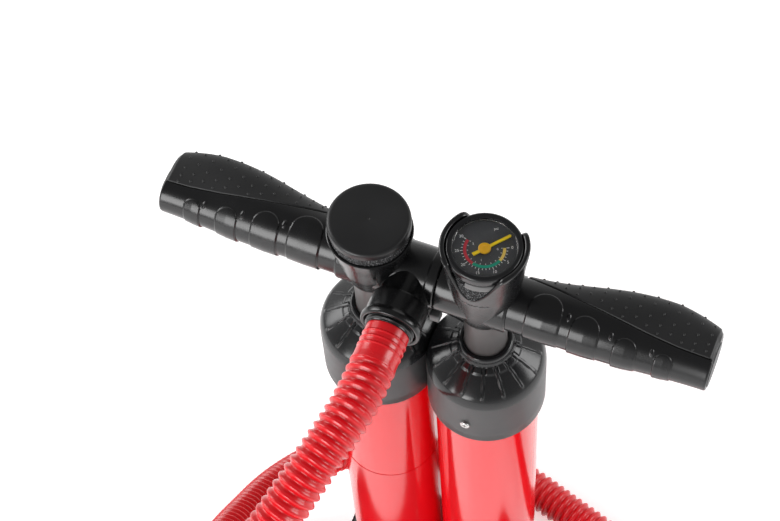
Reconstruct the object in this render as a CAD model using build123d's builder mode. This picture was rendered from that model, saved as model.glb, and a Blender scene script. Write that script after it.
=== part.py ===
"""Double action hand pump: two upright cylinders worked by one wide handle.

Frame: millimetres, +Z up, origin on the floor midway between the cylinders,
X along the handle, the hose outlet and gauge side facing -Y.
The handle is drawn at the bottom of its stroke.
"""
import os
from math import cos, exp, radians, sin, tan

from build123d import *

os.makedirs("parts", exist_ok=True)

# ---- driving dimensions -------------------------------------------------
AXIS_X = 45.25            # each cylinder axis from the middle of the pump
TUBE_R = 42.0             # outside of the barrel
BORE_R = 39.3             # inside of the barrel
CAP_R = 47.5              # cap and foot socket outside
ROD_R = 16.7              # hollow push rod outside
ROD_BORE_R = 14.0
RUNNING = 0.05            # radial clearance of a sliding fit
SCREW_R = 1.6
SCREW_Z = 459.0           # screws that hold a cap on its barrel
FOOT_SCREW_Z = 32.0       # screws that hold a barrel in its socket

FOOT_TOP = 46.0           # top of the sockets that hold the barrels
FOOT_FLOOR = 16.0         # floor inside the sockets
GASKET = 2.0
CAP_BOTTOM = 431.5
CAP_RIM = 498.5           # outer edge of the cap's sloping top
COLLAR_TOP = 523.0        # where the rod leaves the cap
BARREL_TOP = 488.0

PISTON_BOTTOM = 24.0
PISTON_TOP = 52.0
ROD_BOTTOM = 38.0
ROD_TOP = 585.0

BAR_Z = 593.0             # handle axis
BAR_R = 23.0
STUB_END = 68.0           # where each grip starts, from the middle
GRIP_END = {-1: 214.0, 1: 220.0}
GRIP_R = 20.8
GRIP_TAPER = 3.8          # how much the grip's radius falls towards its end
WING = 24.5               # how far the palm rest stands behind the grip
CUP_BOTTOM = 574.0
CUP_FLOOR = 612.0
CUP_WALLS = {             # (radius, z) up the outside of each cup
    -1: ((20.4, 574), (22.6, 583), (25.5, 595), (28.9, 614), (32.6, 633.7), (32.6, 634.7)),
    1: ((20.4, 574), (22.7, 584), (25.2, 602), (28.4, 624), (30.2, 643), (33.0, 666)),
}
CUP_CAVITY = {-1: 30.4, 1: 27.4}

AIRWAY_R = 7.0
STEM_R = 6.0
ROD_SCREW_Z = 579.5
ROD_SCREW_SEAT = 18.5     # distance of the screw head's seat behind the rod's axis

KNOB_R = 31.5
KNOB_BOTTOM = 643.2
KNOB_TOP = 651.0
BEZEL_R = 28.8
BEZEL_BOTTOM = 657.0
BEZEL_TOP = 666.6
DIAL_Z = 661.8
LENS_BOTTOM = 664.7
LENS_TOP = 665.9
GAUGE_POCKET_R = 29.2     # widening of the right cup around the bezel
NOTCH_FLOOR = 650.0       # bottom of the gap behind the gauge

OUTLET_X = -11.0
BOSS_R = 19.5
BOSS_END = -30.0
NUT_BACK = -28.5
NUT_FRONT = -52.0
CUFF_END = -86.0
HOSE_R = 18.0
HOSE_BORE_R = 15.0

SIDES = (("left", -1), ("right", 1))


def save(part, name):
    """Label a finished piece and write it as parts/name.step."""
    part.label = name
    export_step(part, "parts/" + name + ".step")


def turned(points, x=0.0):
    """Solid of revolution about the vertical line at x, from (radius, z) corners."""
    with BuildPart() as body:
        with BuildSketch(Plane.XZ):
            with BuildLine():
                Polyline(*points, close=True)
            make_face()
        revolve(axis=Axis.Z)
    return Pos(x, 0, 0) * body.part


def tube(outer, inner, bottom, top, x=0.0):
    """Plain ring or pipe standing at x."""
    return turned([(inner, bottom), (outer, bottom), (outer, top), (inner, top)], x)


def both(make):
    """The same piece on the left and the right axis, as one group of solids."""
    return Compound(children=[Pos(side * AXIS_X, 0, 0) * make() for _, side in SIDES])


# ---- foot ---------------------------------------------------------------
TREAD_LENGTH = 330.0      # bar to stand on, in front of the barrels
TREAD_DEPTH = 70.0
TREAD_Y = -66.0
BASE_LENGTH = 200.0       # plate under the barrels
BASE_DEPTH = 120.0
FOOT_UNDERSIDE = 4.0
PLATE_TOP = 17.0
INLET_COUNT = 6


def foot():
    with BuildPart() as body:
        with BuildSketch(Plane.XY.offset(FOOT_UNDERSIDE)):
            RectangleRounded(BASE_LENGTH, BASE_DEPTH, 50)
            with Locations((0, TREAD_Y)):
                RectangleRounded(TREAD_LENGTH, TREAD_DEPTH, 30)
        extrude(amount=PLATE_TOP - FOOT_UNDERSIDE)
        with BuildSketch(Plane.XY.offset(FOOT_UNDERSIDE)):
            with Locations((-AXIS_X, 0), (AXIS_X, 0)):
                Circle(CAP_R)
            Rectangle(AXIS_X, 60)
        extrude(amount=FOOT_TOP - FOOT_UNDERSIDE)
        top_rim = body.edges().filter_by(GeomType.CIRCLE).group_by(Axis.Z)[-1]
        chamfer(top_rim, 2.0)
        with BuildSketch(Plane.XY.offset(FOOT_FLOOR)):
            with Locations((-AXIS_X, 0), (AXIS_X, 0)):
                Circle(TUBE_R)
        extrude(amount=FOOT_TOP, mode=Mode.SUBTRACT)
        with BuildSketch(Plane.XY):
            for _, side in SIDES:
                with Locations((side * AXIS_X, 0)):
                    with PolarLocations(13, INLET_COUNT):
                        Circle(4)
                    Circle(2.5)
        extrude(amount=FOOT_TOP, mode=Mode.SUBTRACT)
        with BuildSketch(Plane.XY.offset(PLATE_TOP - 2)):
            with Locations((-122, TREAD_Y), (122, TREAD_Y)):
                with GridLocations(9, 0, 7, 1):
                    SlotCenterToCenter(40, 4, rotation=90)
        extrude(amount=2, mode=Mode.SUBTRACT)
        with BuildSketch(Plane.XZ.offset(-60)):
            with Locations((-AXIS_X, FOOT_SCREW_Z), (AXIS_X, FOOT_SCREW_Z)):
                Circle(SCREW_R)
        extrude(amount=120, mode=Mode.SUBTRACT)
    return body.part


def foot_pads():
    with BuildPart() as body:
        with BuildSketch():
            with Locations((-138, TREAD_Y), (138, TREAD_Y)):
                RectangleRounded(40, 54, 12)
            RectangleRounded(24, 30, 6)
            with Locations((-AXIS_X, TREAD_Y), (AXIS_X, TREAD_Y), (-AXIS_X, 44), (AXIS_X, 44)):
                RectangleRounded(40, 16, 6)
        extrude(amount=FOOT_UNDERSIDE)
    return body.part


def inlet_flap():
    return tube(20.0, 2.5, FOOT_FLOOR, FOOT_FLOOR + 1.2)


def flap_button():
    return turned([
        (0, 6), (2.5, 6), (2.5, FOOT_FLOOR + 1.2), (7, FOOT_FLOOR + 1.2), (5, FOOT_FLOOR + 4),
        (0, FOOT_FLOOR + 4),
    ])


def bumper():
    return tube(36.0, 25.0, FOOT_FLOOR, PISTON_BOTTOM - 0.3)


save(foot(), "foot")
save(foot_pads(), "foot_pads")
save(both(inlet_flap), "inlet_flaps")
save(both(flap_button), "flap_buttons")
save(both(bumper), "piston_bumpers")


# ---- barrels and caps ---------------------------------------------------
BUSH_R = 20.0
HUB_R = 24.0
HUB_BOTTOM = 462.0
SHELF_Z = BARREL_TOP + GASKET
RIB_COUNT = 16


def barrel():
    with BuildPart() as body:
        with BuildSketch(Plane.XY.offset(FOOT_FLOOR + GASKET)):
            Circle(TUBE_R)
            Circle(BORE_R, mode=Mode.SUBTRACT)
        extrude(amount=BARREL_TOP - FOOT_FLOOR - GASKET)
        with BuildSketch(Plane.XZ.offset(-TUBE_R)):
            with Locations((0, SCREW_Z), (0, FOOT_SCREW_Z)):
                Circle(SCREW_R)
        extrude(amount=2 * TUBE_R, mode=Mode.SUBTRACT)
    return body.part


def cap(side):
    """Cap on its own axis, with a flat where it meets its neighbour."""
    slope_foot = (CAP_R - 4.5, CAP_RIM)
    slope_head = (24.0, 514.0)
    with BuildPart() as body:
        with BuildSketch(Plane.XZ):
            with BuildLine():
                Polyline(
                    (TUBE_R, CAP_BOTTOM), (CAP_R, CAP_BOTTOM), (CAP_R, CAP_RIM - 4.5), slope_foot,
                    slope_head,
                    (21.5, COLLAR_TOP - 2), (20.0, COLLAR_TOP), (ROD_R + 0.4, COLLAR_TOP),
                    (ROD_R + 0.4, 519), (BUSH_R, 519), (BUSH_R, HUB_BOTTOM), (HUB_R, HUB_BOTTOM),
                    (HUB_R, SHELF_Z), (TUBE_R, SHELF_Z), close=True,
                )
            make_face()
        revolve(axis=Axis.Z)
        with BuildSketch(Plane.XZ) as rib_outline:
            with BuildLine():
                Polyline(
                    (slope_head[0] - 1, 512), (slope_head[0] - 1, 515.5), (slope_foot[0], CAP_RIM + 1),
                    (slope_foot[0], 497), close=True,
                )
            make_face()
        rib = extrude(rib_outline.sketch, amount=0.8, both=True, mode=Mode.PRIVATE)
        with PolarLocations(0, RIB_COUNT):
            add(rib)
        with BuildSketch(Plane.XZ.offset(-CAP_R - 5)):
            with Locations((0, SCREW_Z)):
                Circle(SCREW_R)
        extrude(amount=2 * CAP_R + 10, mode=Mode.SUBTRACT)
        flat = Plane.YZ.offset(-side * (AXIS_X - 0.15))
        split(bisect_by=flat, keep=Keep.BOTTOM if side < 0 else Keep.TOP)
    return Pos(side * AXIS_X, 0, 0) * body.part


def rod_bush():
    return tube(BUSH_R, ROD_R + RUNNING, 470, 519)


def rod_seal():
    return tube(BUSH_R, ROD_R + RUNNING, HUB_BOTTOM, 470)


def barrel_gasket(x, bottom):
    return tube(TUBE_R, BORE_R, bottom, bottom + GASKET, x)


def barrel_screw(x, z, front):
    """Pan head cross screw through a cap or socket into the barrel."""
    with BuildPart() as body:
        with BuildSketch(Plane.XZ.offset(BORE_R + 0.1)):
            Circle(SCREW_R)
        extrude(amount=CAP_R - BORE_R - 0.1)
        with BuildSketch(Plane.XZ.offset(CAP_R)):
            Circle(4)
        extrude(amount=2.4)
        fillet(body.edges().filter_by(GeomType.CIRCLE).sort_by(Axis.Y)[0], 1.2)
        with BuildSketch(Plane.XZ.offset(CAP_R + 2.4)):
            Rectangle(4.2, 0.9)
            Rectangle(0.9, 4.2)
        extrude(amount=-1.4, mode=Mode.SUBTRACT)
    turn = 0 if front else 180
    return Pos(x, 0, z) * Rot(0, 0, turn) * body.part


def label_wrap():
    return tube(TUBE_R + 0.3, TUBE_R, 96, 276, -AXIS_X)


for word, side in SIDES:
    save(Pos(side * AXIS_X, 0, 0) * barrel(), "barrel_" + word)
    save(cap(side), "cap_" + word)
save(both(rod_bush), "rod_bushes")
save(both(rod_seal), "rod_seals")
gaskets = [barrel_gasket(side * AXIS_X, z) for _, side in SIDES for z in (FOOT_FLOOR, BARREL_TOP)]
save(Compound(children=gaskets), "barrel_gaskets")
screws = [
    barrel_screw(side * AXIS_X, z, front)
    for _, side in SIDES for z in (FOOT_SCREW_Z, SCREW_Z) for front in (True, False)
]
save(Compound(children=screws), "barrel_screws")
save(label_wrap(), "label_wrap")


# ---- pistons and rods ---------------------------------------------------
SEAL_GROOVE_R = 34.5
BOLT_R = 8.0


def rod():
    with BuildPart() as body:
        add(tube(ROD_R, ROD_BORE_R, ROD_BOTTOM, ROD_TOP))
        with BuildSketch(Plane.XZ.offset(-10)):
            with Locations((0, ROD_SCREW_Z)):
                Circle(SCREW_R)
        extrude(amount=-10, mode=Mode.SUBTRACT)
    return body.part


def piston():
    return turned([
        (BOLT_R, 32), (20, 32), (20, PISTON_BOTTOM), (37.3, PISTON_BOTTOM), (37.3, 28),
        (SEAL_GROOVE_R, 28), (SEAL_GROOVE_R, 34), (37.3, 34), (37.3, 42), (SEAL_GROOVE_R, 42),
        (SEAL_GROOVE_R, 46), (37.3, 46), (37.3, PISTON_TOP), (ROD_R, PISTON_TOP),
        (ROD_R, ROD_BOTTOM), (BOLT_R, ROD_BOTTOM),
    ])


def wear_ring():
    return tube(BORE_R - RUNNING, SEAL_GROOVE_R, 28, 34)


def piston_seal():
    return tube(BORE_R - RUNNING, SEAL_GROOVE_R, 42, 46)


def rod_plug():
    return tube(ROD_BORE_R, BOLT_R, ROD_BOTTOM, 60)


def piston_bolt():
    """Hollow bolt, so that air passes from the barrel into the rod."""
    with BuildPart() as body:
        with BuildSketch(Plane.XY.offset(26)):
            RegularPolygon(13, 6)
        extrude(amount=6)
        with BuildSketch(Plane.XY.offset(32)):
            Circle(BOLT_R)
        extrude(amount=26)
        with BuildSketch(Plane.XY.offset(26)):
            Circle(4.5)
        extrude(amount=32, mode=Mode.SUBTRACT)
    return body.part


def piston_flap():
    """Rubber check disc that lets air into the hollow rod but not back."""
    return turned([(0, 60), (12, 60), (12, 61.2), (0, 61.2)])


def flap_cage():
    with BuildPart() as body:
        with BuildSketch(Plane.XY.offset(61.2)):
            Circle(3)
        extrude(amount=3)
        with BuildSketch(Plane.XY.offset(64)):
            Circle(ROD_BORE_R)
            Circle(9, mode=Mode.SUBTRACT)
            Rectangle(2 * ROD_BORE_R - 2, 3)
        extrude(amount=3)
    return body.part


for word, side in SIDES:
    save(Pos(side * AXIS_X, 0, 0) * rod(), "rod_" + word)
    save(Pos(side * AXIS_X, 0, 0) * piston(), "piston_" + word)
save(both(wear_ring), "wear_rings")
save(both(piston_seal), "piston_seals")
save(both(rod_plug), "rod_plugs")
save(both(piston_bolt), "piston_bolts")
save(both(piston_flap), "piston_flaps")
save(both(flap_cage), "flap_cages")


# ---- handle -------------------------------------------------------------
BAR_LEFT_END = -19.0      # faces between the bar and the two cup mouldings
BAR_RIGHT_END = 12.0
GRIP_TUBE_R = 10.0
GRIP_TUBE_START = 62.0


def cup_envelope(side, gap):
    """Outside of a cup moulding with its stub, grown by a gap, to trim its neighbours."""
    inner_end = BAR_LEFT_END if side < 0 else BAR_RIGHT_END
    rim = CUP_WALLS[side][-1][1]
    with BuildPart() as body:
        with BuildSketch(Plane.XZ):
            with BuildLine():
                wall = Spline(*[(r + gap, z) for r, z in CUP_WALLS[side]])
                Polyline(wall @ 1, (0, rim), (0, CUP_BOTTOM), wall @ 0)
            make_face()
        revolve(axis=Axis.Z)
        with BuildSketch(Plane.YZ.offset(inner_end - side * AXIS_X)):
            with Locations((0, BAR_Z)):
                Circle(BAR_R)
        extrude(amount=side * STUB_END - inner_end)
    return Pos(side * AXIS_X, 0, 0) * body.part


def ramp(x, start, end):
    """Smooth rise from 0 to 1 between two places."""
    share = min(1.0, max(0.0, (x - start) / (end - start)))
    return 0.5 - 0.5 * cos(radians(180 * share))


def wing_size(x):
    """How far the palm rest has grown at a distance x from the middle."""
    return 0.07 + 0.76 * ramp(x, 60, 190) - 0.3 * max(0.0, (x - 180.0) / 40.0) ** 2


def grip_radius(x, angle):
    """Radius of the grip's section, round in front and drawn out to a palm rest behind."""
    core = GRIP_R - GRIP_TAPER * ramp(x, 130, 220)
    return core + WING * wing_size(x) * exp(-(((angle - 10) / 38.0) ** 2))


def grip_blank(side):
    """Whole grip, before it is parted into core and soft pad."""
    with BuildPart() as body:
        for step in range(7):
            x = STUB_END + (GRIP_END[side] - STUB_END) * step / 6
            with BuildSketch(Plane.YZ.offset(side * x)):
                with BuildLine():
                    ring = []
                    for angle in range(-140, 220, 20):
                        r = grip_radius(x, angle)
                        ring.append((r * cos(radians(angle)), BAR_Z + r * sin(radians(angle))))
                    Spline(*ring, periodic=True)
                make_face()
        loft()
    return body.part


def seam_plane(side):
    """Plane that parts the pad from the core: it sinks outwards and backwards."""
    return Plane(
        origin=(side * 78, 10, BAR_Z + 20), x_dir=(side, 0, -0.085), z_dir=(side * 0.085, 0.51, 1),
    )


def grip(side, pad):
    with BuildPart() as body:
        add(grip_blank(side))
        split(bisect_by=seam_plane(side), keep=Keep.TOP if pad else Keep.BOTTOM)
        add(cup_envelope(side, 0.4), mode=Mode.SUBTRACT)
        if not pad:
            with BuildSketch(Plane.YZ.offset(side * STUB_END)):
                with Locations((0, BAR_Z)):
                    Circle(GRIP_TUBE_R)
            extrude(amount=side * 132, mode=Mode.SUBTRACT)
    return body.part


def grip_tube(side):
    with BuildPart() as body:
        with BuildSketch(Plane.YZ.offset(side * GRIP_TUBE_START)):
            with Locations((0, BAR_Z)):
                Circle(GRIP_TUBE_R)
                Circle(GRIP_TUBE_R - 1.5, mode=Mode.SUBTRACT)
        extrude(amount=side * 130)
    return body.part


def end_plate(side):
    """Flat plate that closes the outer end of the grip."""
    with BuildPart() as body:
        with BuildSketch(Plane.YZ.offset(side * GRIP_END[side])):
            with Locations((4, BAR_Z)):
                Ellipse(18, 14)
        extrude(amount=side * 2.0)
    return body.part


def cup(side):
    """Cup moulding: funnel over the rod, cup above it and a stub to each neighbour."""
    axis = side * AXIS_X
    rim = CUP_WALLS[side][-1][1]
    cavity = CUP_CAVITY[side]
    inner_end = BAR_LEFT_END if side < 0 else BAR_RIGHT_END
    with BuildPart() as body:
        add(Pos(-axis, 0, 0) * cup_envelope(side, 0))
        with BuildSketch(Plane.XZ):
            with BuildLine():
                Polyline(
                    (0, 560), (ROD_R, 560), (ROD_R, ROD_TOP), (ROD_BORE_R, ROD_TOP), (ROD_BORE_R, 606),
                    (STEM_R + RUNNING, 606), (STEM_R + RUNNING, CUP_FLOOR), (22, CUP_FLOOR), (cavity, 630),
                    (cavity, rim), (0, rim), close=True,
                )
            make_face()
        revolve(axis=Axis.Z, mode=Mode.SUBTRACT)
        if side > 0:
            with BuildSketch(Plane.XY.offset(BEZEL_BOTTOM - 0.6)):
                Circle(GAUGE_POCKET_R)
            extrude(amount=20, mode=Mode.SUBTRACT)
        with BuildSketch(Plane.YZ.offset(inner_end - axis)):
            with Locations((0, BAR_Z)):
                Circle(AIRWAY_R)
        extrude(amount=axis - inner_end, mode=Mode.SUBTRACT)
        with BuildSketch(Plane.YZ.offset(side * GRIP_TUBE_START - axis)):
            with Locations((0, BAR_Z)):
                Circle(GRIP_TUBE_R)
        extrude(amount=side * 20, mode=Mode.SUBTRACT)
        with BuildSketch(Plane.XZ.offset(-10)):
            with Locations((0, ROD_SCREW_Z)):
                Circle(SCREW_R)
        extrude(amount=-30, mode=Mode.SUBTRACT)
        with BuildSketch(Plane.XZ.offset(-ROD_SCREW_SEAT)):
            with Locations((0, ROD_SCREW_Z)):
                Circle(4)
        extrude(amount=-10, mode=Mode.SUBTRACT)
        if side > 0:
            with BuildSketch(Plane.XZ):
                with BuildLine():
                    ThreePointArc((-18, rim + 1), (0, 636), (20, rim + 1))
                    Line((20, rim + 1), (-18, rim + 1))
                make_face()
            extrude(amount=40, mode=Mode.SUBTRACT)
            with BuildSketch(Plane.XY.offset(NOTCH_FLOOR)):
                with BuildLine():
                    sides = [(50 * cos(radians(a)), 50 * sin(radians(a))) for a in (48, 89, 130)]
                    Polyline((0, 0), *sides, close=True)
                make_face()
            extrude(amount=30, mode=Mode.SUBTRACT)
    return Pos(axis, 0, 0) * body.part


def rod_screw():
    """Cross screw from behind, through the cup moulding into the top of the rod."""
    with BuildPart() as body:
        with BuildSketch(Plane.XZ.offset(-ROD_BORE_R - 0.1)):
            with Locations((0, ROD_SCREW_Z)):
                Circle(SCREW_R)
        extrude(amount=-(ROD_SCREW_SEAT - ROD_BORE_R - 0.1))
        with BuildSketch(Plane.XZ.offset(-ROD_SCREW_SEAT)):
            with Locations((0, ROD_SCREW_Z)):
                Circle(3.6)
        extrude(amount=-2)
    return body.part


def bar():
    """Middle of the handle, with the outlet boss that faces forwards."""
    with BuildPart() as body:
        with BuildSketch(Plane.YZ.offset(BAR_LEFT_END)):
            with Locations((0, BAR_Z)):
                Circle(BAR_R)
        extrude(amount=BAR_RIGHT_END - BAR_LEFT_END)
        with BuildSketch(Plane.XZ):
            with Locations((OUTLET_X, BAR_Z)):
                Circle(BOSS_R)
        extrude(amount=-BOSS_END)
        with BuildSketch(Plane.XZ):
            with Locations((OUTLET_X, BAR_Z)):
                Circle(17)
        extrude(amount=40)
        with BuildSketch(Plane.XZ):
            with Locations((OUTLET_X, BAR_Z)):
                Circle(11)
        extrude(amount=40, mode=Mode.SUBTRACT)
        with BuildSketch(Plane.YZ.offset(BAR_LEFT_END)):
            with Locations((0, BAR_Z)):
                Circle(AIRWAY_R)
        extrude(amount=BAR_RIGHT_END - BAR_LEFT_END, mode=Mode.SUBTRACT)
        add(cup_envelope(-1, 0), mode=Mode.SUBTRACT)
    return body.part


for word, side in SIDES:
    save(grip(side, False), "grip_core_" + word)
    save(grip(side, True), "grip_pad_" + word)
    save(cup(side), "cup_" + word)
save(both(rod_screw), "rod_screws")
save(Compound(children=[grip_tube(side) for _, side in SIDES]), "grip_tubes")
save(Compound(children=[end_plate(side) for _, side in SIDES]), "grip_end_plates")
save(bar(), "handle_bar")


# ---- air filter, selector knob and gauge ---------------------------------
def selector_knob():
    with BuildPart() as body:
        with BuildSketch(Plane.XY.offset(KNOB_BOTTOM)):
            Circle(KNOB_R)
        extrude(amount=KNOB_TOP - KNOB_BOTTOM)
        fillet(body.edges().filter_by(GeomType.CIRCLE).sort_by(Axis.Z)[-1], 4.0)
        with BuildSketch(Plane.XY.offset(KNOB_BOTTOM)):
            Circle(KNOB_R - 3)
            Circle(10, mode=Mode.SUBTRACT)
        extrude(amount=6, mode=Mode.SUBTRACT)
    return Pos(-AXIS_X, 0, 0) * body.part


def selector_stem():
    return turned([
        (0, 601), (12, 601), (12, 605.9), (STEM_R, 605.9), (STEM_R, KNOB_BOTTOM), (0, KNOB_BOTTOM),
    ], -AXIS_X)


def filter_left():
    return turned([
        (STEM_R + 0.3, CUP_FLOOR), (21.8, CUP_FLOOR), (30.2, 630), (30.2, KNOB_BOTTOM - 0.4),
        (STEM_R + 0.3, KNOB_BOTTOM - 0.4),
    ], -AXIS_X)


def filter_right():
    return turned([
        (STEM_R, CUP_FLOOR), (21.8, CUP_FLOOR), (27.2, 630), (27.2, 652.6), (22.2, 652.6),
        (22.2, 621.8), (STEM_R, 621.8),
    ], AXIS_X)


def gauge_case():
    return turned([
        (STEM_R, 622), (22, 622), (22, 652.8), (26.5, 652.8), (26.5, BEZEL_BOTTOM), (24, BEZEL_BOTTOM),
        (24, DIAL_Z - 1), (20.5, DIAL_Z - 1), (20.5, 624), (STEM_R, 624),
    ], AXIS_X)


def gauge_stem():
    return tube(STEM_R, 2, 601, 626, AXIS_X)


def gauge_bezel():
    return turned([
        (24, BEZEL_BOTTOM), (27.4, BEZEL_BOTTOM), (BEZEL_R, BEZEL_BOTTOM + 2), (BEZEL_R, BEZEL_TOP - 1.5),
        (BEZEL_R - 1.5, BEZEL_TOP), (23.6, BEZEL_TOP), (23.6, LENS_TOP), (24, LENS_TOP),
    ], AXIS_X)


def gauge_dial():
    return tube(24, 1.4, DIAL_Z - 1, DIAL_Z, AXIS_X)


def gauge_lens():
    return turned([(0, LENS_BOTTOM), (24, LENS_BOTTOM), (24, LENS_TOP), (0, LENS_TOP)], AXIS_X)


def gauge_movement():
    """Bourdon tube and its sector plate, under the dial."""
    with BuildPart() as body:
        with BuildSketch(Plane.XY.offset(632)):
            Circle(19)
            Circle(15.5, mode=Mode.SUBTRACT)
            with Locations((14, 0)):
                Rectangle(14, 8, mode=Mode.SUBTRACT)
        extrude(amount=6)
        with BuildSketch(Plane.XY.offset(626)):
            Circle(15)
        extrude(amount=4)
        with BuildSketch(Plane.XY.offset(626)):
            with Locations((-13, 0), (10, 0)):
                Rectangle(6, 8)
        extrude(amount=20)
        with BuildSketch(Plane.XY.offset(643)):
            Rectangle(30, 8)
        extrude(amount=3)
        with BuildSketch(Plane.XY.offset(626)):
            Circle(1.3 + RUNNING)
        extrude(amount=20, mode=Mode.SUBTRACT)
    return Pos(AXIS_X, 0, 0) * body.part


NEEDLE_REST = 50.0        # direction of the needle's tip at zero, degrees from +X
NEEDLE_FOOT = 631.0


def gauge_needle():
    with BuildPart() as body:
        with BuildSketch(Plane.XY.offset(DIAL_Z + 0.8)):
            Circle(5.2)
            with BuildLine():
                Polyline((-9.5, -1.1), (21, -0.8), (21, 0.8), (-9.5, 1.1), close=True)
            make_face()
        extrude(amount=0.8)
        with BuildSketch(Plane.XY.offset(DIAL_Z + 1.6)):
            Circle(3.6)
        extrude(amount=0.7)
        with BuildSketch(Plane.XY.offset(NEEDLE_FOOT)):
            Circle(1.3)
        extrude(amount=DIAL_Z + 0.8 - NEEDLE_FOOT)
    return Pos(AXIS_X, 0, 0) * Rot(0, 0, NEEDLE_REST) * body.part


save(selector_knob(), "selector_knob")
save(selector_stem(), "selector_stem")
save(filter_left(), "filter_foam_left")
save(filter_right(), "filter_foam_right")
save(gauge_case(), "gauge_case")
save(gauge_stem(), "gauge_stem")
save(gauge_bezel(), "gauge_bezel")
save(gauge_dial(), "gauge_dial")
save(gauge_lens(), "gauge_lens")
save(gauge_movement(), "gauge_movement")
save(gauge_needle(), "gauge_needle")


# ---- hose ---------------------------------------------------------------
def forward(points):
    """Solid of revolution about the outlet's axis, from (radius, y) corners."""
    with BuildPart() as body:
        with BuildSketch(Plane.XY):
            with BuildLine():
                Polyline(*points, close=True)
            make_face()
        revolve(axis=Axis.Y)
    return Pos(OUTLET_X, 0, BAR_Z) * body.part


def swivel_nut():
    return forward([
        (BOSS_R + 0.3, NUT_BACK), (22.0, NUT_BACK), (22.6, -46), (23.9, -48), (23.9, NUT_FRONT + 1.5),
        (22.6, NUT_FRONT),
        (19.6, NUT_FRONT), (19.6, NUT_BACK - 4), (BOSS_R + 0.3, NUT_BACK - 4),
    ])


def outlet_seal():
    return forward([(12, -40), (16, -40), (16, -41.5), (12, -41.5)])


def hose_cuff():
    """Red moulded end of the hose, with a screwed black-ringed root inside the nut."""
    return forward([
        (12, -41.5), (16.6, -41.5), (16.6, -68), (17.4, -69), (17.4, -71), (16.8, -72), (17.4, -76),
        (17.4, -78), (16.8, -79),
        (18.0, -83), (18.0, CUFF_END), (12, CUFF_END),
    ])


def thread_ring():
    return forward([(16.6, -42), (19.2, -42), (19.2, -50), (16.6, -50)])


HOSE_ROUTE = [
    (OUTLET_X, CUFF_END, BAR_Z), (OUTLET_X, -112, BAR_Z), (-16, -139, 590), (-23, -165, 583),
    (-31, -190, 571), (-41, -216, 553), (-54, -240, 529), (-69, -258, 499), (-85, -269, 463),
    (-102, -272, 424), (-118, -266, 385), (-132, -249, 348), (-143, -225, 315), (-151, -198, 282),
    (-157, -168, 250), (-161, -137, 220), (-163, -106, 190), (-163, -75, 160), (-162, -42, 131),
    (-157, -10, 103), (-147, 21, 78), (-129, 51, 57), (-104, 76, 41), (-70, 94, 29), (-30, 104, 21),
    (12, 105, 18.5), (54, 98, 18.5), (94, 85, 18.5), (134, 73, 18.5), (174, 58, 18.5), (211, 37, 18.5),
    (242, 9, 18.5), (267, -26, 18.5), (283, -65, 18.5), (291, -107, 18.5), (291, -148, 18.5),
]


def bend_radii(route):
    """Largest tangent arc at each corner of the route that its two runs leave room for."""
    radii = []
    for before, here, after in zip(route, route[1:], route[2:]):
        back = Vector(*here) - Vector(*before)
        ahead = Vector(*after) - Vector(*here)
        turn = back.get_angle(ahead)
        radii.append(0.45 * min(back.length, ahead.length) / tan(radians(turn / 2)))
    return radii


def hose():
    radii = bend_radii(HOSE_ROUTE)
    print("hose bend radii, mm:", [round(r) for r in radii])
    with BuildPart() as body:
        with BuildLine() as route:
            FilletPolyline(*HOSE_ROUTE, radius=radii)
        with BuildSketch(Plane(origin=HOSE_ROUTE[0], z_dir=route.line % 0)):
            Circle(HOSE_R)
            Circle(HOSE_BORE_R, mode=Mode.SUBTRACT)
        sweep()
    length = route.wires()[0].length
    section = 3.14159265 * (HOSE_R ** 2 - HOSE_BORE_R ** 2)
    ratio = body.part.volume / (section * length)
    print("hose length, mm:", round(length), "volume over section x length:", round(ratio, 4))
    return body.part


NOZZLE_X, NOZZLE_START, NOZZLE_Z = HOSE_ROUTE[-1]


def nozzle_piece(points):
    """Solid of revolution about the axis of the hose's far end, from (radius, distance) corners."""
    with BuildPart() as body:
        with BuildSketch(Plane.XY):
            with BuildLine():
                Polyline(*[(radius, -distance) for radius, distance in points], close=True)
            make_face()
        revolve(axis=Axis.Y)
    return Pos(NOZZLE_X, NOZZLE_START, NOZZLE_Z) * body.part


def nozzle_cuff():
    return nozzle_piece([
        (HOSE_BORE_R - 3, 0), (17.8, 0), (17.8, 26), (16.5, 30), (HOSE_BORE_R - 3, 30),
    ])


def nozzle():
    """Bayonet nozzle for an inflation valve, with two lugs."""
    with BuildPart() as body:
        add(nozzle_piece([
            (8, 30), (17.5, 30), (17.5, 40), (13.5, 46), (13.5, 52), (11.5, 53), (11.5, 64), (11, 64),
            (11, 72), (9.5, 74), (8, 74),
        ]))
        with BuildSketch(Plane.XZ.offset(-NOZZLE_START + 58)):
            with Locations((NOZZLE_X, NOZZLE_Z)):
                Rectangle(29, 6)
                Circle(9, mode=Mode.SUBTRACT)
        extrude(amount=6)
    return body.part


save(swivel_nut(), "swivel_nut")
save(outlet_seal(), "outlet_seal")
save(hose_cuff(), "hose_cuff")
save(thread_ring(), "hose_thread_ring")
save(hose(), "hose")
save(nozzle_cuff(), "nozzle_cuff")
save(nozzle(), "nozzle")
save(nozzle_piece([(11.5, 53), (13.2, 53), (13.2, 56), (11.5, 56)]), "nozzle_seal")
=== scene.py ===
"""Double action hand pump: looks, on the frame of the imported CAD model.

Lengths are millimetres, apart from the camera's place and the studio, which are in metres.
"""
import random
from math import cos, degrees, exp, hypot, pi, radians, sin, sqrt

import bpy
from mathutils import Matrix, Vector


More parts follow.
